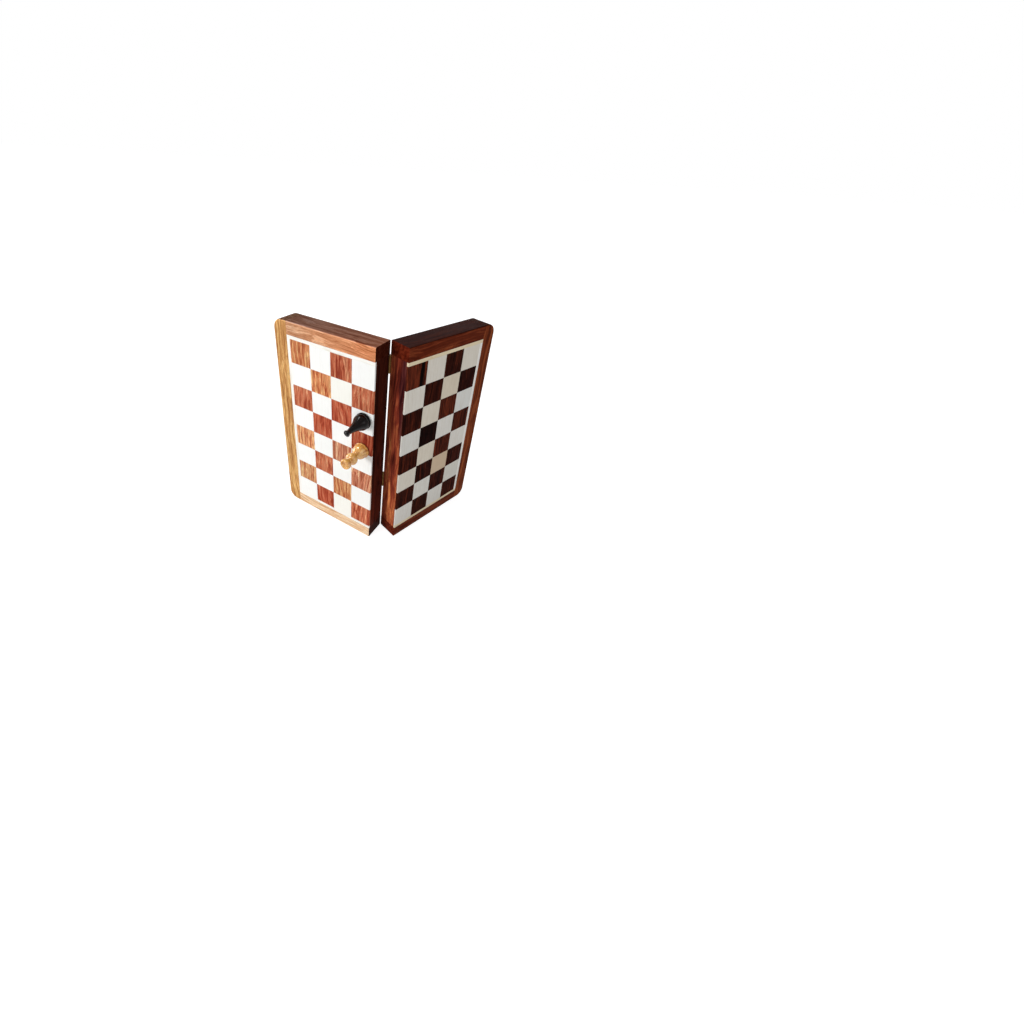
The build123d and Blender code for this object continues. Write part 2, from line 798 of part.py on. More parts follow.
for name, height in hinge_heights.items():
    keep(name + "_hinge_left_leaf", make_leaf(left, height))
    keep(name + "_hinge_right_leaf", make_leaf(right, height))
    keep(name + "_hinge_pin", make_pin(height))

# The pieces in the store: the black ones in the left half and the pale ones in the right

for side, colour in ((left, "black"), (right, "white")):
    stored = {}
    for kind, x, y, way in slots(side):
        if kind != on_the_board[side]:
            stored.setdefault(kind, []).append(lying_plane(side, kind, x, y, way))
    for kind, planes in stored.items():
        ending = "s" if len(planes) > 1 else ""
        keep(colour + "_" + kind + ending, make_pieces(kind, planes))
    every = [plane for planes in stored.values() for plane in planes]
    with_radii = [(plane, base_radii[kind]) for kind, planes in stored.items()
                  for plane in planes]
    keep(colour + "_store_magnets", make_magnets(every))
    keep(colour + "_store_felts", make_felts(with_radii))

# The two pieces on the left half's playing face

on_face = {"black_king": ("king", standing_plane(king_across, king_down)),
           "white_queen": ("queen", standing_plane(queen_across, queen_down))}
for name, (kind, plane) in on_face.items():
    keep(name, make_pieces(kind, [plane]))
    keep(name + "_magnet", make_magnets([plane]))
    keep(name + "_felt", make_felts([(plane, base_radii[kind])]))
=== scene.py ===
import json
import math

import bmesh
import bpy
import numpy as np
from mathutils import Matrix, Vector


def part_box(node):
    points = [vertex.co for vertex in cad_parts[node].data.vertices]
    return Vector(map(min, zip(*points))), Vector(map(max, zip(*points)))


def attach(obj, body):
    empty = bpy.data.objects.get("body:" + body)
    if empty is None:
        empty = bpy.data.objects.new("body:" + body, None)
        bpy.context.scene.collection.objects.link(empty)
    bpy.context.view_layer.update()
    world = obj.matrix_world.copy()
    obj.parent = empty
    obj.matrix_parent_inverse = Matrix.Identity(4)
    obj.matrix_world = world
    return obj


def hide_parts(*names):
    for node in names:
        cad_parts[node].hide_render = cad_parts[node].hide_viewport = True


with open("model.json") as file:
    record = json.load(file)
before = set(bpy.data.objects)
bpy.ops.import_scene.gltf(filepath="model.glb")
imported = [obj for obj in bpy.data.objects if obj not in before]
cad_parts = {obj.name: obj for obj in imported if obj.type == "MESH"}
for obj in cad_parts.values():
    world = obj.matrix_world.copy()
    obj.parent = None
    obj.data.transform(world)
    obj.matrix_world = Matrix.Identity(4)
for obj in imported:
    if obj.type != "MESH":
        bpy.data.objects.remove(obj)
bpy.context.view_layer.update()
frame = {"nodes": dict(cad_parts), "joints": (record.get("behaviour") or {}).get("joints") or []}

nodes = frame["nodes"]
mm = 0.001

# The chess set stands on its end, half folded, with its hinge line in front.
# Sizes in the dictionaries are in millimetres; meshes are in metres.

joints = {joint["name"]: joint for joint in frame["joints"]}
fold, lift = joints["case_fold"], joints["black_king_lift"]
lean = math.atan2(-lift["axis"][0], -lift["axis"][1])  # how far each face leans back
hinge = np.array([fold["pos_m"][0], fold["pos_m"][1], 0.0])
upWay = np.array([0.0, 0.0, 1.0])
sides = {"left": -1, "right": 1}

board = {
    "square": 27.0,
    "ranks": 8,
    "spineEdge": 0.25,      # from the hinge line to the first square
    "innerEdge": 112.25,    # from the hinge line to the inner side of the outer rail
    "trayStart": 12.55,
    "liningFace": 19.75,    # depth from the hinge line, towards the playing face
    "face": 26.45,
    "endRail": 15.0,
    "borderWidth": 4.0,
}
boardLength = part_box("left_outer_rail")[1].z / mm
gridTop = (boardLength + board["square"] * board["ranks"]) / 2
sharpAngle = 40  # degrees, past which an edge of a new mesh stays sharp


def outWay(side):
    return np.array([side * math.cos(lean), math.sin(lean), 0.0])


def faceWay(side):
    return np.array([side * math.sin(lean), -math.cos(lean), 0.0])


def pointOnHalf(side, out, deep, height):
    # hinge line + out along the half + deep towards its face + height up the hinge line
    out, deep, height = np.broadcast_arrays(np.asarray(out, float), deep, height)
    return (hinge + mm * (out[..., None] * outWay(side) + deep[..., None] * faceWay(side)
                          + height[..., None] * upWay))


def addObject(name, data):
    thing = bpy.data.objects.new(name, data)
    bpy.context.scene.collection.objects.link(thing)
    return thing


def dress(name, material):
    nodes[name].data.materials[0] = material


def makeObject(name, vertices, faces, material, body, slotName):
    mesh = bpy.data.meshes.new(name)
    mesh.from_pydata(vertices.tolist(), [], faces)
    mesh.validate()
    mesh.shade_smooth()
    mesh.set_sharp_from_angle(angle=math.radians(sharpAngle))
    piece = addObject(name, mesh)
    mesh.materials.append(material)
    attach(piece, body)
    return piece


# Shader helpers

def setSockets(tree, node, sockets):
    # a socket takes a constant, or a link from another node
    for key, value in sockets.items():
        if isinstance(value, bpy.types.NodeSocket):
            tree.links.new(value, node.inputs[key])
        else:
            node.inputs[key].default_value = value


def addNode(tree, kind, sockets=None, **settings):
    node = tree.nodes.new("ShaderNode" + kind)
    for name, value in settings.items():
        setattr(node, name, value)
    setSockets(tree, node, sockets or {})
    return node


def calc(tree, operation, *values, clamp=False):
    node = addNode(tree, "Math", dict(enumerate(values)), operation=operation, use_clamp=clamp)
    return node.outputs[0]


def vectorCalc(tree, operation, first, second):
    return addNode(tree, "VectorMath", {0: first, 1: second}, operation=operation).outputs


def partsOf(tree, place):
    return addNode(tree, "SeparateXYZ", {0: place}).outputs


def remap(tree, value, low, high, newLow=0.0, newHigh=1.0):
    return addNode(tree, "MapRange", {
        "Value": value, "From Min": low, "From Max": high, "To Min": newLow,
        "To Max": newHigh}).outputs["Result"]


def noise(tree, place, seed=None, scale=1.0, detail=2.0, roughness=0.5, distortion=0.0):
    sockets = {"Vector": place, "Scale": scale, "Detail": detail, "Roughness": roughness,
               "Distortion": distortion}
    if seed is None:
        return addNode(tree, "TexNoise", sockets).outputs
    return addNode(tree, "TexNoise", {**sockets, "W": seed}, noise_dimensions="4D").outputs


def mixColour(tree, factor, first, second, mode="MIX"):
    node = addNode(tree, "Mix", {0: factor, 6: first, 7: second}, data_type="RGBA",
                   blend_type=mode, clamp_result=True)
    return node.outputs[2]


def tintWhere(tree, mask, colour, tint):
    # the colour, multiplied by the tint where the mask is 1
    return mixColour(tree, mask, colour, mixColour(tree, 1.0, colour, (*tint, 1), "MULTIPLY"))


def toned(tree, colour, amount):
    # the colour, multiplied by a number
    grey = addNode(tree, "CombineXYZ", {n: amount for n in range(3)}).outputs[0]
    return mixColour(tree, 1.0, colour, grey, "MULTIPLY")


def seen(colour):
    # a colour as it looks on a screen, 0 to 255, turned into light
    return tuple((c / 255 / 12.92) if c <= 10 else ((c / 255 + 0.055) / 1.055) ** 2.4
                 for c in colour) + (1.0,)


def toneRamp(tree, streak, tones):
    node = addNode(tree, "ValToRGB", {"Fac": streak})
    elements = node.color_ramp.elements
    elements.new(0.5)
    for element, position, colour in zip(elements, toneStops, tones):
        element.position, element.color = position, colour
    return node.outputs["Color"]


def emptyTree(owner):
    owner.use_nodes = True
    owner.node_tree.nodes.clear()
    return owner.node_tree


def startMaterial(name):
    material = bpy.data.materials.new(name)
    tree = emptyTree(material)
    shader = addNode(tree, "BsdfPrincipled")
    addNode(tree, "OutputMaterial", {"Surface": shader.outputs["BSDF"]})
    return material, tree, shader


def startGroup(name, inputs, outputs):
    # inputs by name and type; every output is a number
    group = bpy.data.node_groups.new(name, "ShaderNodeTree")
    for socketName, kind in inputs.items():
        group.interface.new_socket(socketName, in_out="INPUT", socket_type="NodeSocket" + kind)
    for socketName in outputs:
        group.interface.new_socket(socketName, in_out="OUTPUT", socket_type="NodeSocketFloat")
    return group, group.nodes.new("NodeGroupInput").outputs, group.nodes.new("NodeGroupOutput")


def addBump(tree, shader, height, strength, distance):
    bump = addNode(tree, "Bump", {"Height": height, "Strength": strength, "Distance": distance})
    tree.links.new(bump.outputs["Normal"], shader.inputs["Normal"])


# Wood figure: streaks, fine grain, dark lines and pores, all drawn out along Z

figureReach = {   # size across the grain and along it
    "drift": (30, 60), "streak": (1, 22), "grain": (0.8, 26), "pore": (0.38, 5.5),
}
figureBend = 14   # the drift carries the figure aside by up to half of this
usual = (0.3, 0.7)   # where nearly all of a noise's values lie
poreEdges = (0.6, 0.7)   # noise value where a pore begins, and where it is full
lineEdges = (0.02, 0.2)   # share of a step within which a line is full, and where it ends
toneStops = (0.12, 0.5, 0.88)   # streak values of a wood's dark, middle and light tones


def stretched(tree, place, across, along):
    scale = (1 / across, 1 / across, 1 / along)
    return vectorCalc(tree, "MULTIPLY", place, scale)[0]


def makeWoodGroup():
    group, given, result = startGroup(
        "woodFigure",
        {"Place": "Vector", "Seed": "Float", "Streak size": "Float", "Lines": "Float"},
        ("Streak", "Grain", "Line", "Pore"))

    def layer(name, place, **settings):
        return noise(group, stretched(group, place, *figureReach[name]), given["Seed"],
                     **settings)

    drift = layer("drift", given["Place"])["Color"]
    centred = vectorCalc(group, "SUBTRACT", drift, (0.5, 0.5, 0.5))[0]
    bend = vectorCalc(group, "MULTIPLY", centred, (figureBend, figureBend, 0))[0]
    place = vectorCalc(group, "ADD", given["Place"], bend)[0]
    finer = calc(group, "DIVIDE", 1.0, given["Streak size"])
    streak = layer("streak", place, scale=finer, detail=5.0, roughness=0.62)["Fac"]
    grain = layer("grain", place, detail=3.0, roughness=0.6)["Fac"]
    pore = layer("pore", place, detail=1.5)["Fac"]
    # a dark line runs wherever the streak value crosses a whole number of steps
    saw = calc(group, "FRACT", calc(group, "MULTIPLY", streak, given["Lines"]))
    line = calc(group, "SUBTRACT", 1.0,
                remap(group, calc(group, "PINGPONG", saw, 0.5), *lineEdges), clamp=True)
    setSockets(group, result, {
        "Streak": remap(group, streak, *usual), "Grain": remap(group, grain, *usual),
        "Line": line, "Pore": remap(group, pore, *poreEdges)})
    return group


# Handling marks in a varnish: broad cloudy patches for its gloss and a ripple for its relief

def makeVarnishGroup():
    group, given, result = startGroup("varnishMarks", {"Place": "Vector"}, ("Cloud", "Ripple"))
    cloud = noise(group, given["Place"], scale=0.03, detail=4.0, roughness=0.55)["Fac"]
    setSockets(group, result, {"Cloud": remap(group, cloud, *usual),
                               "Ripple": noise(group, given["Place"], scale=0.35)["Fac"]})
    return group


woodFigure = makeWoodGroup()
varnishMarks = makeVarnishGroup()
print("node groups made")


def addFigure(tree, place, seed, look):
    return addNode(tree, "Group", {
        "Place": place, "Seed": seed, "Streak size": look["streak"], "Lines": look["lines"]},
        node_tree=woodFigure).outputs


def addMarks(tree, place):
    return addNode(tree, "Group", {"Place": place}, node_tree=varnishMarks).outputs


def placeOnHalf(tree, side, along="height"):
    # millimetres from the hinge line: out along the half, through it, and up.
    # The direction named by along comes out as Z, because the wood figure runs along Z.
    turn = -lean if side > 0 else math.pi + lean
    turned = Matrix.Rotation(turn, 3, "Z") @ Vector(hinge / mm)
    mapped = addNode(tree, "Mapping", {
        "Vector": addNode(tree, "TexCoord").outputs["Object"], "Location": -turned,
        "Rotation": (0, 0, turn), "Scale": (1 / mm,) * 3}).outputs[0]
    if along == "height":
        return mapped
    parts = partsOf(tree, mapped)
    order = (2, 1, 0) if along == "out" else (0, 2, 1)
    return addNode(tree, "CombineXYZ", {n: parts[order[n]] for n in range(3)}).outputs[0]


woodFinish = {"roughSpread": (-0.05, 0.06), "poreRough": 0.15, "poreDip": -0.6, "ripple": 0.5,
              "bump": 0.35, "coatRough": 0.08}


def finishWood(tree, shader, place, figure, colour, look):
    marks = addMarks(tree, place)
    rough = remap(tree, marks["Cloud"], 0, 1,
                  *(look["rough"] + spread for spread in woodFinish["roughSpread"]))
    raised = calc(tree, "MULTIPLY_ADD", figure["Pore"], woodFinish["poreDip"], figure["Grain"])
    height = calc(tree, "MULTIPLY_ADD", marks["Ripple"], woodFinish["ripple"], raised)
    addBump(tree, shader, height, woodFinish["bump"], look["relief"] * mm)
    setSockets(tree, shader, {
        "Base Color": colour,
        "Roughness": calc(tree, "MULTIPLY_ADD", figure["Pore"], woodFinish["poreRough"], rough),
        "Coat Weight": look["coat"], "Coat Roughness": woodFinish["coatRough"],
        "Specular IOR Level": look["gloss"]})


def woodColour(tree, figure, look):
    tones = [seen(tone) for tone in look["tones"]]
    base = toneRamp(tree, figure["Streak"], tones)
    fine = remap(tree, figure["Grain"], 0, 1, 1 - look["contrast"], 1 + look["contrast"] / 2)
    lined = mixColour(tree, calc(tree, "MULTIPLY", figure["Line"], look["lineDepth"]),
                      toned(tree, base, fine), tones[0])
    return mixColour(tree, calc(tree, "MULTIPLY", figure["Pore"], look["poreDepth"]),
                     lined, tones[0])


# Where each tint of a rail begins and where it is full, in the order of use
tintEdges = {
    # the end tint: darker end grain on the outer rails, and painted shade on the long-grain tops
    # of the end rails
    "endTint": (0.55, 0.8),         # on the parts that look up or down
    # the worn tint is a painted highlight along the rounded edge above the playing face
    "wornTint": (0.8, 0.92),        # on the edge between the end and the playing face
    # towards the hinge: darker end grain, with painted shade that is nearly black on the left half
    "spineTint": (0.55, 0.8),       # on the parts that look towards the hinge
    "spineGradient": (100, 5),      # towards the hinge
    "lowTint": (170, 20),           # towards the foot
    "heartTint": (0, 2.5),          # in a wedge of heartwood along the playing face
}
heartwood = {"height": 210.0, "slope": 0.11, "from": 15.5, "wander": 3.0}  # widest at its height


def facing(tree, direction, edges):
    # 1 on the parts of a surface that look this way, from the cosine between the two
    normal = addNode(tree, "TexCoord").outputs["Normal"]
    return remap(tree, vectorCalc(tree, "DOT_PRODUCT", normal, tuple(direction))["Value"], *edges)


def tintMask(tree, name, side, figure):
    edges = tintEdges[name]
    if name == "endTint":
        return calc(tree, "MAXIMUM", *(facing(tree, way, edges) for way in (upWay, -upWay)))
    if name == "wornTint":
        return facing(tree, (faceWay(side) + upWay) / math.sqrt(2), edges)
    if name == "spineTint":
        return facing(tree, -outWay(side), edges)
    out, deep, height = partsOf(tree, placeOnHalf(tree, side))
    if name == "spineGradient":
        return remap(tree, out, *edges)
    if name == "lowTint":
        return remap(tree, height, *edges)
    away = calc(tree, "ABSOLUTE", calc(tree, "SUBTRACT", height, heartwood["height"]))
    start = calc(tree, "MULTIPLY_ADD", away, heartwood["slope"], heartwood["from"])
    wandering = calc(tree, "MULTIPLY_ADD", figure["Streak"], heartwood["wander"],
                     calc(tree, "ABSOLUTE", deep))
    return remap(tree, calc(tree, "SUBTRACT", wandering, start), *edges)


def makeWood(name, side, along, look):
    material, tree, shader = startMaterial(name)
    place = placeOnHalf(tree, side, along)
    figure = addFigure(tree, place, look["seed"], look)
    colour = woodColour(tree, figure, look)
    for tint in tintEdges:
        if tint in look:
            colour = tintWhere(tree, tintMask(tree, tint, side, figure), colour, look[tint])
    finishWood(tree, shader, place, figure, colour, look)
    return material


# Rails: oiled rosewood, golden on the left half's outer rail, palest on its bottom rail and
# browner elsewhere; the right half's rails are painted darker still, as painted shade. The faces
# that look up or down are darker: end grain on the outer rails, which drinks more oil, and painted
# shade on the long-grain tops. The sides at the hinge are darker end grain with painted shade,
# deepest on the left half, and a painted highlight runs along the left half's upper edge.
railLook = {"contrast": 0.26, "lineDepth": 0.55, "poreDepth": 0.6, "streak": 3.4, "lines": 8.0,
            "rough": 0.42, "relief": 0.05, "coat": 0.0, "gloss": 0.005}
railChanges = {   # tones from dark to light
    "left_outer_rail": {
        "tones": ((142, 86, 48), (212, 157, 96), (243, 201, 134)), "seed": 11.3, "streak": 2.8,
        "endTint": (0.26, 0.22, 0.3), "wornTint": (1.5, 1.6, 1.8)},
    "left_top_rail": {
        "tones": ((148, 88, 56), (210, 155, 116), (232, 191, 156)), "seed": 5.7,
        "endTint": (0.35, 0.31, 0.36), "wornTint": (1.5, 1.7, 2.0),
        "spineTint": (0.07, 0.03, 0.03), "spineGradient": (1.3, 1.05, 0.9)},
    "left_bottom_rail": {
        "tones": ((206, 150, 106), (242, 208, 168), (249, 228, 196)), "seed": 21.9,
        "endTint": (0.16, 0.1, 0.1), "spineTint": (0.05, 0.02, 0.02)},
    # the right half's rails: painted darker than the left half's, as painted shade
    "right_outer_rail": {
        "tones": ((84, 34, 18), (132, 62, 34), (164, 88, 50)), "seed": 31.1,
        "endTint": (0.18, 0.17, 0.2)},
    "right_top_rail": {
        "tones": ((72, 24, 12), (108, 44, 25), (136, 66, 38)), "seed": 41.4,
        "endTint": (0.21, 0.15, 0.14), "spineTint": (0.85, 0.6, 0.6)},
    "right_bottom_rail": {
        "tones": ((72, 26, 16), (112, 48, 30), (138, 68, 42)), "seed": 8.8,
        "endTint": (0.3, 0.2, 0.2), "spineTint": (1.0, 0.7, 0.6)},
}
for name, changes in railChanges.items():
    side = sides[name.split("_")[0]]
    along = "height" if "outer" in name else "out"
    dress(name, makeWood(name + "Wood", side, along, {**railLook, **changes}))

spineLook = {
    # the left spine's tones are painted shade: very dark where its side looks away from the lamps
    "left": {"tones": ((34, 12, 9), (60, 23, 16), (84, 34, 22)), "seed": 2.2,
             "lowTint": (1.6, 1.6, 1.6)},
    "right": {"tones": ((80, 27, 22), (146, 61, 42), (228, 130, 80)), "seed": 14.6,
              "lowTint": (1.4, 1.6, 1.5), "heartTint": (0.34, 0.42, 0.8)},
}
for half, changes in spineLook.items():
    look = {**railLook, **changes, "contrast": 0.3, "streak": 4.2, "lines": 5.0}
    dress(half + "_spine_rail", makeWood(half + "SpineWood", sides[half], "height", look))
print("rails finished")


# Squares: each one is cut from its own piece of veneer, so tone and figure change at its edges.
# Its number, from its row and its file, seeds both.

def startSquares(name, side, look):
    material, tree, shader = startMaterial(name)
    place = placeOnHalf(tree, side)
    out, deep, height = partsOf(tree, place)
    ends = ((out, board["spineEdge"]), (gridTop, height))
    file, rank = (calc(tree, "FLOOR", calc(
        tree, "DIVIDE", calc(tree, "SUBTRACT", *pair), board["square"])) for pair in ends)
    number = calc(tree, "MULTIPLY_ADD", rank, look["rankStep"],
                  calc(tree, "MULTIPLY_ADD", file, look["fileStep"], look["seed"]))
    chance = addNode(tree, "TexWhiteNoise", {"W": number}, noise_dimensions="1D")
    tile = {"place": place, "out": out, "file": file, "rank": rank,
            "chance": chance.outputs["Value"], "figure": addFigure(tree, place, number, look)}
    return material, tree, shader, tile


def sameNumber(tree, value, number):
    # both are whole numbers, so any margin under a half will do
    return calc(tree, "COMPARE", value, float(number), 0.1)


def pickSquares(tree, tile, chosen):
    # 1 on the chosen squares and 0 elsewhere; each is its row from the top and its file
    found = 0.0
    for rank, file in chosen:
        found = calc(tree, "MULTIPLY_ADD", sameNumber(tree, tile["rank"], rank),
                     sameNumber(tree, tile["file"], file), found)
    return found


def tintSquares(tree, tile, colour, tints):
    for tint, chosen in tints.items():
        colour = tintWhere(tree, pickSquares(tree, tile, chosen), colour, tint)
    return colour


darkVeneer = {**railLook, "contrast": 0.38, "lineDepth": 0.4, "gloss": 0.004, "rough": 0.45,
              "streak": 2.2, "lines": 7.0, "rankStep": 7.31, "fileStep": 3.17,
              "spread": (0.86, 1.14)}   # from the darkest square to the lightest
darkSquareLook = {   # each tint with its squares
    "left": {"tones": ((142, 52, 35), (202, 112, 80), (237, 174, 131)), "seed": 3.1, "tints": {
        (1.25, 1.95, 1.8): [(4, 3), (6, 3)],
        (1.12, 1.42, 1.2): [(0, 3), (1, 2), (6, 1)],
        (1.02, 1.42, 1.6): [(4, 1), (5, 0)],
        (0.84, 0.66, 0.66): [(2, 1), (3, 2), (3, 0), (7, 2)]}},
    # the right half's tones: the same rosewood as the left half, painted far darker as painted
    # shade
    "right": {"tones": ((26, 9, 7), (57, 22, 15), (88, 37, 23)), "seed": 7.7, "tints": {
        (1.9, 1.9, 1.7): [(0, 0), (2, 2), (3, 3), (4, 2)],
        (1.9, 1.8, 1.6): [(0, 0)],
        (0.3, 0.36, 0.5): [(3, 1)],
        (0.6, 0.6, 0.7): [(1, 3)]}},
}
blackBand = {"square": (0, 0), "from": 18.6, "to": 24.6, "edge": 2.0, "wander": 3.0,
             "colour": (14, 6, 5)}  # in one square of the right half


def makeDarkSquares(half):
    look = {**darkVeneer, **darkSquareLook[half]}
    material, tree, shader, tile = startSquares(half + "DarkSquareVeneer", sides[half], look)
    figure = tile["figure"]
    colour = toned(tree, woodColour(tree, figure, look),
                   remap(tree, tile["chance"], 0, 1, *look["spread"]))
    colour = tintSquares(tree, tile, colour, look["tints"])
    if half == "right":
        size = blackBand
        wander = calc(tree, "MULTIPLY_ADD", figure["Streak"], size["wander"], tile["out"])
        band = calc(tree, "MULTIPLY",
                    remap(tree, wander, size["from"], size["from"] + size["edge"]),
                    remap(tree, wander, size["to"] + size["edge"], size["to"]))
        band = calc(tree, "MULTIPLY", band, pickSquares(tree, tile, [size["square"]]))
        colour = mixColour(tree, band, colour, seen(size["colour"]))
    finishWood(tree, shader, tile["place"], figure, colour, look)
    return material


paleFinish = {"rough": 0.48, "relief": 0.03, "coat": 0.0, "gloss": 0.005}
lightVeneer = {**paleFinish, "streak": 3.4, "lines": 5.0, "rankStep": 5.13, "fileStep": 2.71,
               "vein": (196, 178, 150), "line": (178, 158, 128)}
lightSquareLook = {
    "left": {"plain": (248, 250, 249), "warm": (246, 247, 244), "shade": 0.04, "seed": 1.9,
             "tints": {(1.0, 0.985, 0.94): [(1, 1), (7, 1)]}},
    # the right half's light squares: painted greyer, with stronger veins, as painted shade
    "right": {"plain": (234, 233, 228), "warm": (230, 224, 212), "shade": 0.12, "seed": 5.3,
              "tints": {(0.96, 0.9, 0.81): [(1, 2), (2, 1), (4, 1)],
                        (0.97, 1.0, 1.03): [(2, 3), (3, 0), (6, 3)],
                        (0.84, 0.66, 0.5): [(5, 2)]}},
}


def makeLightSquares(half):
    look = {**lightVeneer, **lightSquareLook[half]}
    material, tree, shader, tile = startSquares(half + "LightSquareVeneer", sides[half], look)
    figure = tile["figure"]
    colour = mixColour(tree, tile["chance"], seen(look["plain"]), seen(look["warm"]))
    colour = tintSquares(tree, tile, colour, look["tints"])
    veins = calc(tree, "MULTIPLY", calc(tree, "SUBTRACT", 1.0, figure["Grain"], clamp=True),
                 look["shade"] * 2)
    colour = mixColour(tree, veins, colour, seen(look["vein"]))
    colour = mixColour(tree, calc(tree, "MULTIPLY", figure["Line"], look["shade"]), colour,
                       seen(look["line"]))
    finishWood(tree, shader, tile["place"], figure, colour, look)
    return material


borderLook = {**paleFinish, "tones": ((232, 227, 214), (248, 246, 240), (251, 250, 246)),
              "contrast": 0.06, "lineDepth": 0.25, "poreDepth": 0.3, "streak": 2.5,
              "lines": 5.0, "seed": 9.0}
creamTint = (0.9, 0.78, 0.58)  # on the end strips of the right half


def makeBorderWood(half):
    # the strips at the two ends have their grain running out from the spine
    material, tree, shader = startMaterial(half + "BorderWood")
    upright, level = (placeOnHalf(tree, sides[half], along) for along in ("height", "out"))
    height = partsOf(tree, upright)[2]
    low = gridTop - board["square"] * board["ranks"]
    atEnd = calc(tree, "MAXIMUM", calc(tree, "GREATER_THAN", height, gridTop),
                 calc(tree, "LESS_THAN", height, low))
    place = addNode(tree, "Mix", {0: atEnd, 4: upright, 5: level},
                    data_type="VECTOR").outputs[1]
    figure = addFigure(tree, place, borderLook["seed"], borderLook)
    colour = woodColour(tree, figure, borderLook)
    if half == "right":
        colour = tintWhere(tree, atEnd, colour, creamTint)
    finishWood(tree, shader, place, figure, colour, borderLook)
    return material


for half in sides:
    dress(half + "_dark_squares", makeDarkSquares(half))
    dress(half + "_light_squares", makeLightSquares(half))
    dress(half + "_border_strips", makeBorderWood(half))
print("playing faces finished")


# Inner pieces of wood and metal

plywoodLook = {**borderLook, "tones": ((150, 112, 70), (190, 152, 104), (212, 178, 130)),
               "contrast": 0.15, "rough": 0.7}
metalLooks = {   # worn is how far it goes from bright to dull
    # the hinge brass: tarnish patches on a colour painted dark throughout, as painted shade in the
    # hinge's gap
    "shadedBrass": {"bright": (104, 76, 42), "dull": (44, 30, 18), "rough": 0.4, "worn": 0.8},
    "screwBrass": {"bright": (224, 186, 110), "dull": (140, 100, 52), "rough": 0.26, "worn": 0.4},
    "zincSheet": {"bright": (190, 192, 194), "dull": (140, 142, 146), "rough": 0.4, "worn": 0.5},
    "nickel": {"bright": (206, 206, 208), "dull": (150, 150, 154), "rough": 0.2, "worn": 0.3},
}
metalUses = {"shadedBrass": ("_leaf", "_pin"), "screwBrass": ("hinge_screws",),
             "zincSheet": ("steel_sheet",), "nickel": ("magnet", "magnets")}
brushing = {"reach": (0.15, 6), "bump": 0.2, "relief": 0.02, "roughSpread": (-0.05, 0.08)}
tarnish = {"scale": 0.45, "edges": (0.4, 0.75), "rough": 0.4}


def makeMetal(name, look):
    material, tree, shader = startMaterial(name)
    place = placeOnHalf(tree, 1)
    patches = noise(tree, place, scale=tarnish["scale"], detail=5.0, roughness=0.65)["Fac"]
    brushed = noise(tree, stretched(tree, place, *brushing["reach"]))["Fac"]
    amount = remap(tree, patches, *tarnish["edges"], 0, look["worn"])
    polish = remap(tree, brushed, *usual,
                   *(look["rough"] + spread for spread in brushing["roughSpread"]))
    setSockets(tree, shader, {
        "Base Color": mixColour(tree, amount, seen(look["bright"]), seen(look["dull"])),
        "Roughness": calc(tree, "MULTIPLY_ADD", amount, tarnish["rough"], polish),
        "Metallic": 1.0})
    addBump(tree, shader, brushed, brushing["bump"], brushing["relief"] * mm)
    return material


metals = {name: makeMetal(name + "Metal", look) for name, look in metalLooks.items()}
for name in nodes:
    for metal, endings in metalUses.items():
        if name.endswith(endings):
            dress(name, metals[metal])
for half, side in sides.items():
    dress(half + "_panel", makeWood(half + "Plywood", side, "height", plywoodLook))
print("metal and inner wood finished")


# Turned pieces: each profile is a list of radius and height over the board

turnedSizes = {
    "footHeight": 2.4, "footRound": 0.5, "footStep": 0.6, "ledge": 0.5,
    "lip": [(0, -0.4), (-0.08, -0.1), (-0.35, 0)],   # from the foot's radius and height
    "grooveWidth": 0.7, "grooveDepth": 1.05,
    "feltThickness": 0.8, "feltMargin": 0.7, "feltRound": 0.25, "feltLift": 0.02,
}
baseRadii = {"king": 9.3, "queen": 9.1, "bishop": 8.2, "rook": 8.2, "knight": 8.2, "pawn": 7.2}


def arcThrough(first, middle, last, count=9):
    # the circle through three points, walked from the first to the last
    a, b, c = (np.array(p, float) for p in (first, middle, last))
    turn = 2 * ((a[0] - c[0]) * (b[1] - c[1]) - (b[0] - c[0]) * (a[1] - c[1]))
    squares = np.array([a @ a - c @ c, b @ b - c @ c])
    centre = np.array([squares[0] * (b[1] - c[1]) - squares[1] * (a[1] - c[1]),
                       squares[1] * (a[0] - c[0]) - squares[0] * (b[0] - c[0])]) / turn
    angles = [math.atan2(*(p - centre)[::-1]) for p in (a, b, c)]
    way = 1 if (angles[1] - angles[0]) % math.tau < (angles[2] - angles[0]) % math.tau else -1
    sweep = way * ((way * (angles[2] - angles[0])) % math.tau)
    t = angles[0] + sweep * np.linspace(0, 1, count)
    radius = np.linalg.norm(a - centre)
    return centre + radius * np.stack([np.cos(t), np.sin(t)], 1)


def arcChain(first, *arcs):
    # arcs end to end, each given by its middle, its end and its number of points
    chain = []
    for middle, last, count in arcs:
        chain.append(arcThrough(first, middle, last, count))
        first = last
    return np.vstack(chain)


def smoothThrough(points, count=6):
    # a Catmull-Rom curve through the points, with its ends doubled
    p = np.array([points[0], *points, points[-1]], float)
    t = np.linspace(0, 1, count, endpoint=False)[:, None]
    spans = [0.5 * (2 * b + (c - a) * t + (2 * a - 5 * b + 4 * c - d) * t ** 2
                    + (3 * b - a - 3 * c + d) * t ** 3)
             for a, b, c, d in zip(p, p[1:], p[2:], p[3:])]
    return np.vstack(spans + [p[-1:]])


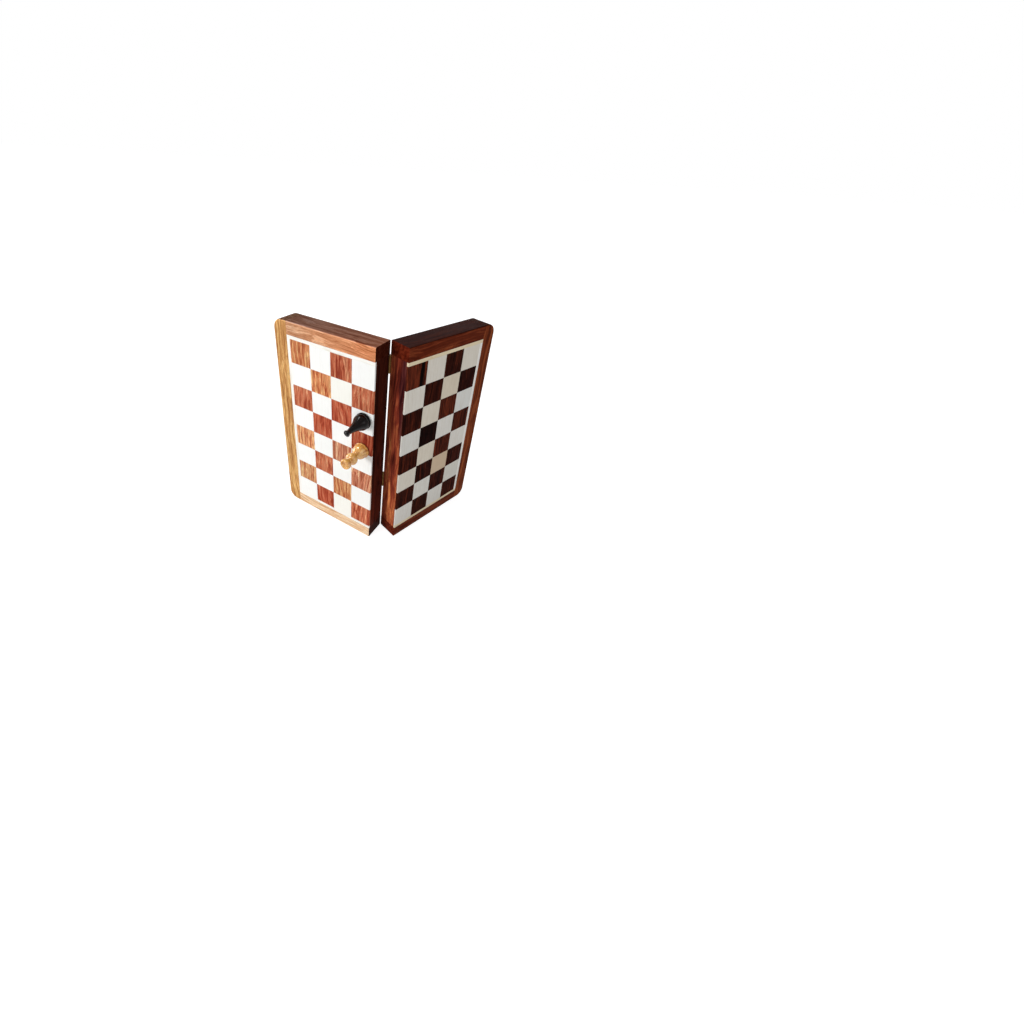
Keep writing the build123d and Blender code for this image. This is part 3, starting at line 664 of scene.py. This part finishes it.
def footProfile(radius):
    size = turnedSizes
    low, top = size["feltThickness"], size["footHeight"]
    corner = size["footRound"] * (1 - math.sqrt(0.5))
    edge = arcThrough((radius - size["footRound"], low), (radius - corner, low + corner),
                      (radius, low + size["footRound"]), 5)
    lip = arcThrough(*((radius + across, top + up) for across, up in size["lip"]), 4)
    groove = arcThrough((radius - size["ledge"], top),
                        (radius - size["grooveDepth"], top + size["grooveWidth"] / 2),
                        (radius - size["footStep"], top + size["grooveWidth"]), 6)
    return np.vstack([[(0, low), (radius * 0.5, low)], edge, lip, groove])


def feltProfile(radius):
    size = turnedSizes
    edge = radius - size["feltMargin"]
    low, high = size["feltLift"], size["feltThickness"]
    rim = arcThrough((edge - size["feltRound"], low), (edge, high / 2),
                     (edge - size["feltRound"], high), 6)
    return np.vstack([[(0, low)], rim, [(0, high)]])


def taper(start, neck, shape):
    # shape says how far the height has gone and how much of the radius is left to lose
    return smoothThrough([start] + [(neck[0] + fall * (start[0] - neck[0]),
                                     start[1] + rise * (neck[1] - start[1]))
                                    for rise, fall in shape] + [neck])


kingBell = ((0.09, 1.05), (0.19, 0.97), (0.33, 0.72), (0.53, 0.41), (0.75, 0.18))
plainTaper = ((0.18, 0.86), (0.35, 0.61), (0.55, 0.32), (0.78, 0.09))
cutSizes = {"bars": 3, "notchWidth": 1.8, "notchFloor": 22.7,
            "slitAt": (2.8, 23.8), "slitHalfWidth": 0.45, "slitEdge": 0.3, "slitDepth": 2.4,
            "slitInside": (1.4, 19.5), "slitCore": 1.2}


def kingProfile(start):
    neck = (2.6, 25.7)
    head = arcChain(neck, ((2.75, 27.8), (3.5, 29.6), 8), ((3.52, 29.95), (3.15, 30.2), 5))
    button = arcChain((2.8, 30.15), ((2.35, 29.98), (2.05, 30.1), 5), ((1.3, 30.78), (0, 31.0), 8))
    return [taper(start, neck, kingBell), head, button]


def queenProfile(start):
    # dome, waist, ball, neck, crown, lip and cup
    return [arcChain(start, ((7.1, 8.96), (3.6, 12.4), 18), ((3.55, 14.0), (4.24, 15.6), 7),
                     ((6.9, 19.75), (3.8, 23.9), 22), ((3.15, 24.5), (3.2, 25.1), 5),
                     ((5.3, 27.4), (5.9, 31.0), 12), ((5.45, 31.7), (4.4, 32.0), 7),
                     ((3.0, 30.1), (0, 29.4), 9))]


def bishopProfile(start):
    neck, tip = (3.0, 15.8), (1.04, 27.4)
    head = smoothThrough([(2.5, 18.8), (4.2, 20.3), (4.5, 22.6), (3.6, 25.0), (1.7, 26.9), tip])
    return [taper(start, neck, plainTaper), arcThrough(neck, (5.0, 16.9), (2.5, 18.0), 11),
            head, arcThrough(tip, (1.3, 28.2), (0, 29.5), 9)]


def rookProfile(start):
    neck, shoulder = (4.3, 13.2), (4.8, 15.2)
    tower = smoothThrough([shoulder, (5.8, 16.6), (6.15, 17.6), (6.2, 18.6)])
    floor = cutSizes["notchFloor"] - 0.1
    rim = [(6.2, floor), (6.2, 24.1), (6.1, 24.4), (5.8, 24.5), (4.7, 24.5), (4.4, 24.4),
           (4.3, 24.1), (4.3, floor), (4.3, 21.8), (3.9, 21.5), (0, 21.5)]
    return [taper(start, neck, plainTaper), arcThrough(neck, (5.6, 14.2), shoulder, 7),
            tower, rim]


def pawnProfile(start):
    neck = (2.4, 12.4)
    return [taper(start, neck, plainTaper), arcThrough(neck, (4.3, 13.4), (2.4, 14.4), 10),
            arcThrough((2.4, 15.0), (3.9, 18.1), (0, 22.0), 18)]


def plinthProfile(start):
    return [arcThrough(start, (7.36, 6.25), (6.4, 7.6), 9), [(0, 7.6)]]


profiles = {"king": kingProfile, "queen": queenProfile, "bishop": bishopProfile,
            "rook": rookProfile, "pawn": pawnProfile, "knight": plinthProfile}


def wholeProfile(kind):
    radius = baseRadii[kind]
    start = (radius - turnedSizes["footStep"],
             turnedSizes["footHeight"] + turnedSizes["grooveWidth"])
    return np.vstack([footProfile(radius), *profiles[kind](start)])


# Cuts in the turned heads: notches across the rook's wall, and the bishop's slanting slit

def cutNotches(across, aside, up):
    # points inside one of the bars through the axis come down to the notch's floor
    inBar = np.zeros(across.shape, bool)
    for turn in np.arange(cutSizes["bars"]) * math.pi / cutSizes["bars"]:
        offset = np.abs(across * math.sin(turn) - aside * math.cos(turn))
        inBar |= offset < cutSizes["notchWidth"] / 2
    return across, np.where(inBar, np.minimum(up, cutSizes["notchFloor"]), up)


def cutSlit(across, aside, up):
    # points near the slanting plane across + up = constant move in towards the axis
    size = cutSizes
    distance = np.abs(across - size["slitAt"][0] + up - size["slitAt"][1]) / math.sqrt(2)
    edge = size["slitEdge"]
    fade = np.clip((size["slitHalfWidth"] + edge - distance) / edge, 0, 1)
    leastAcross, leastUp = size["slitInside"]
    fade = np.where((across > leastAcross) & (up > leastUp), fade, 0)
    return across - fade * np.minimum(size["slitDepth"], across - size["slitCore"]), up


cuts = {"rook": cutNotches, "bishop": cutSlit}


def ringIndex(levels, rings):
    index = np.arange(levels * rings).reshape(levels, rings)
    return index, np.roll(index, -1, axis=1)


def turnedSurface(profile, foot, axis, firstWay, rings, cut=None):
    # foot + height along the axis + radius round it; the two ends are single points
    around = np.linspace(0, math.tau, rings, endpoint=False)
    secondWay = np.cross(axis, firstWay)
    inner = profile[1:-1]
    across, aside = (inner[:, :1] * wave(around) for wave in (np.cos, np.sin))
    up = np.broadcast_to(inner[:, 1:], across.shape)
    if cut:
        across, up = cut(across, aside, up)
    grid = foot + mm * (across[..., None] * firstWay + aside[..., None] * secondWay
                        + up[..., None] * axis)
    low, high = (foot + mm * profile[n][1] * axis for n in (0, -1))
    vertices = np.vstack([grid.reshape(-1, 3), low, high])
    levels = len(inner)
    index, after = ringIndex(levels, rings)
    quads = np.stack([index[:-1], after[:-1], after[1:], index[1:]], -1).reshape(-1, 4)
    tip = np.full(rings, levels * rings)
    bottom = np.stack([tip, after[0], index[0]], -1)
    top = np.stack([tip + 1, index[-1], after[-1]], -1)
    return vertices, quads.tolist() + bottom.tolist() + top.tolist()


def joinSurfaces(surfaces):
    vertices, faces, start = [], [], 0
    for points, polygons in surfaces:
        vertices.append(points)
        faces += [[start + n for n in polygon] for polygon in polygons]
        start += len(points)
    return np.vstack(vertices), faces


# The knight's head: an oval section carried along a path from the plinth over the poll to
# the nose. The back of the section is notched into a mane.

knightHead = {
    "path": [(-0.4, 7.0), (-1.4, 11.5), (-1.9, 15.5), (-1.3, 19.2), (0.6, 21.6), (2.9, 20.4),
             (4.6, 18.0), (5.7, 16.2), (6.1, 15.3)],
    "halfWidth": [5.0, 4.5, 4.1, 3.9, 3.5, 3.1, 2.5, 1.9, 0.9],
    "halfThickness": [4.0, 3.6, 3.2, 3.1, 3.0, 2.6, 2.1, 1.8, 0.9],
    "levels": 49, "rings": 28, "roundness": 0.85,
    "manePeaks": 9, "maneDepth": 0.35, "maneSharpness": 8,
    "maneEnd": 5.2, "maneFade": 1.5,   # in steps of the path
    "earAt": (-0.6, 23.2, 1.5), "eyeAt": (2.6, 21.0, 2.1),   # to the nose, up and aside
    "earCurve": [(0, 0), (1.15, 0.1), (1.1, 1.6), (0.55, 3.2), (0, 4.1)], "earLean": 0.2,
    "eyeCurve": [(0.62, 0.0), (0.44, 0.55), (0, 0.75)], "eyeBack": -0.1, "smallRings": 14,
}


def horseSurface(foot, axis, noseWay):
    look = knightHead
    steps = np.linspace(0, len(look["path"]) - 1, look["levels"])
    known = np.arange(len(look["path"]))
    dense = smoothThrough(look["path"], 6)
    path = np.stack([np.interp(steps, np.linspace(0, len(known) - 1, len(dense)), dense[:, n])
                     for n in range(2)], 1)
    width = np.interp(steps, known, look["halfWidth"])
    thick = np.interp(steps, known, look["halfThickness"])
    along = np.gradient(path, axis=0)
    along /= np.linalg.norm(along, axis=1)[:, None]
    across = np.stack([-along[:, 1], along[:, 0]], 1)   # points to the mane side
    angle = np.linspace(0, math.tau, look["rings"], endpoint=False)
    mane = np.clip(np.cos(angle), 0, 1) ** look["maneSharpness"]
    waves = 0.5 + 0.5 * np.sin(steps[:, None] / steps[-1] * math.tau * look["manePeaks"])
    fade = np.clip((look["maneEnd"] - steps[:, None]) / look["maneFade"], 0, 1)
    reach = width[:, None] * np.cos(angle) - look["maneDepth"] * mane * waves * fade
    flat = np.sign(np.sin(angle)) * np.abs(np.sin(angle)) ** look["roundness"]
    plane = path[:, None, :] + reach[..., None] * across[:, None, :]
    grid = foot + mm * (plane[..., :1] * noseWay + plane[..., 1:] * axis
                        + (thick[:, None] * flat)[..., None] * np.cross(noseWay, axis))
    index, after = ringIndex(look["levels"], look["rings"])
    quads = np.stack([index[:-1], index[1:], after[1:], after[:-1]], -1).reshape(-1, 4)
    ends = [index[0].tolist(), index[-1][::-1].tolist()]
    return grid.reshape(-1, 3), quads.tolist() + ends


def earAndEye(foot, axis, noseWay, sideways):
    look = knightHead
    aside = np.cross(noseWay, axis) * sideways
    earFoot, eyeFoot = (foot + mm * (nose * noseWay + up * axis + out * aside)
                        for nose, up, out in (look["earAt"], look["eyeAt"]))
    tilt = axis * math.cos(look["earLean"]) + aside * look["earLean"]
    eye = np.vstack([[(0, look["eyeBack"])], arcThrough(*look["eyeCurve"], 6)])
    return [turnedSurface(smoothThrough(look["earCurve"], 4), earFoot,
                          tilt / np.linalg.norm(tilt), noseWay, look["smallRings"]),
            turnedSurface(eye, eyeFoot, aside, axis, look["smallRings"])]


def chessman(kind, foot, axis, firstWay, rings):
    finer = 2 if kind in cuts else 1   # the cuts need closer points
    surfaces = [turnedSurface(wholeProfile(kind), foot, axis, firstWay, rings * finer,
                              cuts.get(kind))]
    if kind == "knight":
        surfaces.append(horseSurface(foot, axis, firstWay))
        for sideways in (-1, 1):
            surfaces += earAndEye(foot, axis, firstWay, sideways)
    return surfaces


# Lacquered woods of the pieces. The figure runs along the piece: through the board for the
# standing ones and out along the half for the lying ones.

blackLook = {"seed": 4.0, "streak": 2.0, "lines": 6.0, "deep": (6, 2, 2), "pale": (20, 9, 7),
             "rough": (0.07, 0.14), "bump": 0.12, "relief": 0.03, "ior": 2.2,
             "shine": (0.05, 0.05, 0.05, 1)}
boxwoodLook = {"tones": ((190, 116, 42), (226, 166, 78), (242, 196, 112)), "contrast": 0.1,
               "lineDepth": 0.2, "poreDepth": 0.15, "streak": 2.2, "lines": 5.0, "rough": 0.2,
               "relief": 0.02, "coat": 1.0, "gloss": 0.3, "seed": 17.0}


def makeBlackLacquer(name, side, along):
    look = blackLook
    material, tree, shader = startMaterial(name)
    place = placeOnHalf(tree, side, along)
    marks = addMarks(tree, place)
    setSockets(tree, shader, {
        "Base Color": mixColour(tree, addFigure(tree, place, look["seed"], look)["Streak"],
                                seen(look["deep"]), seen(look["pale"])),
        "Roughness": remap(tree, marks["Cloud"], 0, 1, *look["rough"]),
        "IOR": look["ior"], "Specular Tint": look["shine"]})
    addBump(tree, shader, marks["Ripple"], look["bump"], look["relief"] * mm)
    return material


def makeLacquered(colour, state, side, along):
    # the material and the slot of the black or the white pieces
    if colour == "black":
        return makeBlackLacquer(state + "BlackLacquer", side, along), "black_lacquered_wood"
    return makeWood(state + "Boxwood", side, along, boxwoodLook), "pale_lacquered_wood"


clothLooks = {
    "felt": {"nap": (36, 70, 44), "deepNap": (20, 44, 28), "fibre": 0.35},
    "velvet": {"nap": (30, 62, 40), "deepNap": (16, 36, 24), "fibre": 0.5},
}
sheen = {"Sheen Weight": 0.5, "Sheen Roughness": 0.4, "Sheen Tint": seen((120, 170, 130)),
         "Specular IOR Level": 0.1}


def makeCloth(name, side, look):
    material, tree, shader = startMaterial(name)
    place = placeOnHalf(tree, side)
    fibres = noise(tree, place, scale=1 / look["fibre"], detail=4.0, roughness=0.7)["Fac"]
    brushed = noise(tree, place, scale=0.045, detail=3.0, distortion=0.6)["Fac"]
    tone = calc(tree, "MULTIPLY_ADD", brushed, 0.9, calc(tree, "MULTIPLY", fibres, 0.5))
    setSockets(tree, shader, {
        "Base Color": mixColour(tree, remap(tree, tone, 0.4, 0.95), seen(look["deepNap"]),
                                seen(look["nap"])),
        "Roughness": remap(tree, fibres, *usual, 0.85, 1.0), **sheen})
    addBump(tree, shader, fibres, 0.6, 0.15 * mm)
    return material


cloths = {(kind, half): makeCloth(half + kind.capitalize(), sides[half], look)
          for kind, look in clothLooks.items() for half in sides}

# The two pieces on the left playing face: how far out from the spine and down from the top
# row's outer edge
standing = {"black_king": (11.0, 64.6), "white_queen": (12.4, 103.6)}
standingGap = 0.05   # from the playing face to the foot
rings = {"standing": 128, "standingFelt": 96, "stored": 48, "storedFelt": 40}
for node, (across, down) in standing.items():
    colour, kind = node.split("_")
    name = colour + kind.capitalize()
    foot = pointOnHalf(-1, board["spineEdge"] + across, board["face"] + standingGap,
                       gridTop - down)
    ways = (foot, faceWay(-1), outWay(-1))
    material, slotName = makeLacquered(colour, "standing", -1, "deep")
    piece = makeObject(name, *joinSurfaces(chessman(kind, *ways, rings["standing"])), material,
                       node + "_piece", slotName)
    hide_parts(node)
    surface = turnedSurface(feltProfile(baseRadii[kind]), *ways, rings["standingFelt"])
    pad = makeObject(name + "Felt", *surface, cloths["felt", "left"], node + "_piece",
                     "foot_felt")
    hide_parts(node + "_felt")
print("standing pieces made")


# The stored pieces lie in two rows, head to head
store = {
    "officerFoot": 27.0,   # from the spine edge
    "pawnFoot": 15.0,      # from the outer rail's inner side
    "linerGap": 0.1,
    "officers": ["rook", "knight", "bishop", "queen", "king", "bishop", "knight", "rook"],
    "out": {"left": "king", "right": "queen"},  # the piece that stands on the board
}
slotPitch = (board["square"] * board["ranks"] + 2 * board["borderWidth"]) / board["ranks"]


def lyingPlaces(half):
    # kind, foot and axis of each stored piece
    side = sides[half]
    for row in range(board["ranks"]):
        height = boardLength - board["endRail"] - (row + 0.5) * slotPitch
        for kind, out, way in (
                (store["officers"][row], board["spineEdge"] + store["officerFoot"], 1),
                ("pawn", board["innerEdge"] - store["pawnFoot"], -1)):
            if kind != store["out"][half]:
                depth = board["liningFace"] - store["linerGap"] - baseRadii[kind]
                yield kind, pointOnHalf(side, out, depth, height), way * outWay(side)


for half, colour in (("left", "black"), ("right", "white")):
    groups, pads = {}, []
    for kind, foot, axis in lyingPlaces(half):
        groups.setdefault(kind, []).extend(chessman(kind, foot, axis, upWay, rings["stored"]))
        pads.append(turnedSurface(feltProfile(baseRadii[kind]), foot, axis, upWay,
                                  rings["storedFelt"]))
    material, slotName = makeLacquered(colour, "stored", sides[half], "out")
    for kind, surfaces in groups.items():
        plural = "" if kind in ("king", "queen") else "s"
        node = colour + "_" + kind + plural
        piece = makeObject(colour + kind.capitalize() + plural + "Stored",
                           *joinSurfaces(surfaces), material, half + "_half", slotName)
        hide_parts(node)
    pad = makeObject(colour + "StoredFelts", *joinSurfaces(pads), cloths["felt", half],
                     half + "_half", "foot_felt")
    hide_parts(colour + "_store_felts")
print("stored pieces made")


# Store trays: flocked foam with softened slot edges, over a cloth lining

trayLook = {"edgeRound": 0.9, "edgeSteps": 3, "sharpAngle": 35.0, "flatAngle": 1.0,
            "mergeWithin": 0.002}


def joinedCopy(node, name):
    # the same solid, its points merged and the triangles of each flat side made one face
    mesh = bpy.data.meshes.new(name)
    work = bmesh.new()
    work.from_mesh(nodes[node].data)
    bmesh.ops.remove_doubles(work, verts=work.verts, dist=trayLook["mergeWithin"] * mm)
    bmesh.ops.dissolve_limit(work, angle_limit=math.radians(trayLook["flatAngle"]),
                             verts=work.verts, edges=work.edges)
    work.to_mesh(mesh)
    work.free()
    return mesh


for half in sides:
    mesh = joinedCopy(half + "_foam_tray", half + "FoamTray")
    tray = addObject(half + "FoamTray", mesh)
    mesh.materials.clear()
    mesh.materials.append(cloths["velvet", half])
    mesh.shade_smooth()
    bevel = tray.modifiers.new("softEdges", "BEVEL")
    bevel.width = trayLook["edgeRound"] * mm
    bevel.segments = trayLook["edgeSteps"]
    bevel.limit_method = "ANGLE"
    bevel.angle_limit = math.radians(trayLook["sharpAngle"])
    bevel.harden_normals = True
    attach(tray, half + "_half")
    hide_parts(half + "_foam_tray")

liningLook = {"gap": 0.3, "columns": 60, "rows": 120, "thickness": 0.5, "lift": 0.06,
              "ripple": 0.05, "across": 0.31, "along": 0.19, "sway": 1.3, "swayAlong": 0.07}


def liningSurface(side):
    # depth = face + lift + ripple * sin(across * x + sway * sin(swayAlong * z)) * sin(along * z)
    look = liningLook
    ends = board["endRail"] + look["gap"]
    out = np.linspace(board["trayStart"], board["innerEdge"] - look["gap"], look["columns"])
    height = np.linspace(ends, boardLength - ends, look["rows"])
    x, z = np.meshgrid(out, height, indexing="ij")
    sway = look["sway"] * np.sin(z * look["swayAlong"])
    ripple = look["ripple"] * np.sin(x * look["across"] + sway) * np.sin(z * look["along"])
    front = pointOnHalf(side, x, board["liningFace"] + look["lift"] + ripple, z)
    index = np.arange(x.size).reshape(x.shape)
    quads = np.stack([index[:-1, :-1], index[1:, :-1], index[1:, 1:], index[:-1, 1:]], -1)
    quads = quads.reshape(-1, 4)
    faces = (quads if side < 0 else quads[:, ::-1]).tolist()
    return front.reshape(-1, 3), faces, out, height


for half, side in sides.items():
    points, faces, out, height = liningSurface(side)
    lining = makeObject(half + "TrayLining", points, faces, cloths["velvet", half],
                        half + "_half", "tray_lining")
    thickness = lining.modifiers.new("thickness", "SOLIDIFY")
    thickness.thickness = liningLook["thickness"] * mm
    thickness.offset = -1
    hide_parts(half + "_tray_lining")
print("trays and linings made")


# Floor, light and camera. Both floor and room are plain white to the camera, in reflections
# and through glass, and a softer light to everything else.

floorLook = {"size": 60, "matt": (0.5, 0.5, 0.5, 1), "glow": 0.84, "plain": (0.8, 0.79, 0.78, 1)}
roomLook = {"soft": (0.97, 0.98, 1, 1), "strength": 0.36}
white = (1, 1, 1, 1)


def mixByRay(tree, lighting, shown):
    path = addNode(tree, "LightPath").outputs
    mask = calc(tree, "MAXIMUM", path["Is Camera Ray"],
                calc(tree, "MAXIMUM", path["Is Glossy Ray"], path["Is Transmission Ray"]))
    return addNode(tree, "MixShader", {0: mask, 1: lighting, 2: shown}).outputs[0]


def makeFloor():
    bpy.ops.mesh.primitive_plane_add(size=floorLook["size"])
    floor = bpy.context.object
    floor.name = "floor"
    material = bpy.data.materials.new("paleFloor")
    tree = emptyTree(material)
    matt, plain = (addNode(tree, "BsdfDiffuse", {"Color": floorLook[key]}).outputs[0]
                   for key in ("matt", "plain"))
    glow = addNode(tree, "Emission", {"Color": white, "Strength": floorLook["glow"]}).outputs[0]
    bright = addNode(tree, "AddShader", {0: matt, 1: glow}).outputs[0]
    addNode(tree, "OutputMaterial", {"Surface": mixByRay(tree, plain, bright)})
    floor.data.materials.append(material)


def makeWorld():
    world = bpy.data.worlds.new("paleRoom")
    bpy.context.scene.world = world
    tree = emptyTree(world)
    soft = addNode(tree, "Background", {"Color": roomLook["soft"],
                                        "Strength": roomLook["strength"]})
    bright = addNode(tree, "Background", {"Color": white, "Strength": 1.0})
    addNode(tree, "OutputWorld", {
        "Surface": mixByRay(tree, soft.outputs[0], bright.outputs[0])})


lamps = {   # place and size in metres, and power in watts
    "keySoftbox": ((-1.3, -0.75, 0.5), 0.32, 8.8),
    "sideSoftbox": ((-1.08, 0.47, 0.29), 0.4, 5.6),
    "edgeLight": ((-0.63, 0.22, 1.27), 0.34, 5.0),
    "frontFill": ((0.7, -1.2, 0.7), 0.8, 4.4),
    "backFill": ((0.1, 1.4, 0.14), 0.9, 6.0),
}
aim = Vector((0, 0, 0.12))


def addLamp(name, place, size, power):
    data = bpy.data.lights.new(name, "AREA")
    data.energy = power
    data.size = size
    lamp = addObject(name, data)
    lamp.location = place
    lamp.rotation_euler = (aim - lamp.location).to_track_quat("-Z", "Y").to_euler()


cameraView = {
    "at": (-0.0364, -0.3785, 0.399),
    "azimuth": 6.44, "down": 32.01, "roll": 3.79,   # degrees
    "focalPixels": 400.0, "imagePixels": 1024.0, "centrePixel": (391.0, 412.0), "sensor": 36.0,
}


def addCamera():
    view = cameraView
    azimuth, down, roll = (math.radians(view[key]) for key in ("azimuth", "down", "roll"))
    forward = Vector((math.sin(azimuth) * math.cos(down), math.cos(azimuth) * math.cos(down),
                      -math.sin(down)))
    level = Vector((math.cos(azimuth), -math.sin(azimuth), 0))
    upright = level.cross(forward)
    rightWay = math.cos(roll) * level + math.sin(roll) * upright
    upDirection = math.cos(roll) * upright - math.sin(roll) * level
    data = bpy.data.cameras.new("camera")
    pixels = view["imagePixels"]
    data.sensor_width = view["sensor"]
    data.lens = view["focalPixels"] / pixels * view["sensor"]
    data.shift_x = 0.5 - view["centrePixel"][0] / pixels
    data.shift_y = view["centrePixel"][1] / pixels - 0.5
    camera = addObject("camera", data)
    turned = Matrix((rightWay, upDirection, -forward)).transposed()
    camera.matrix_world = Matrix.Translation(view["at"]) @ turned.to_4x4()
    bpy.context.scene.camera = camera


makeFloor()
makeWorld()
for name, look in lamps.items():
    addLamp(name, *look)
addCamera()
bpy.context.scene.view_settings.view_transform = "Standard"
print("floor, light and camera made")
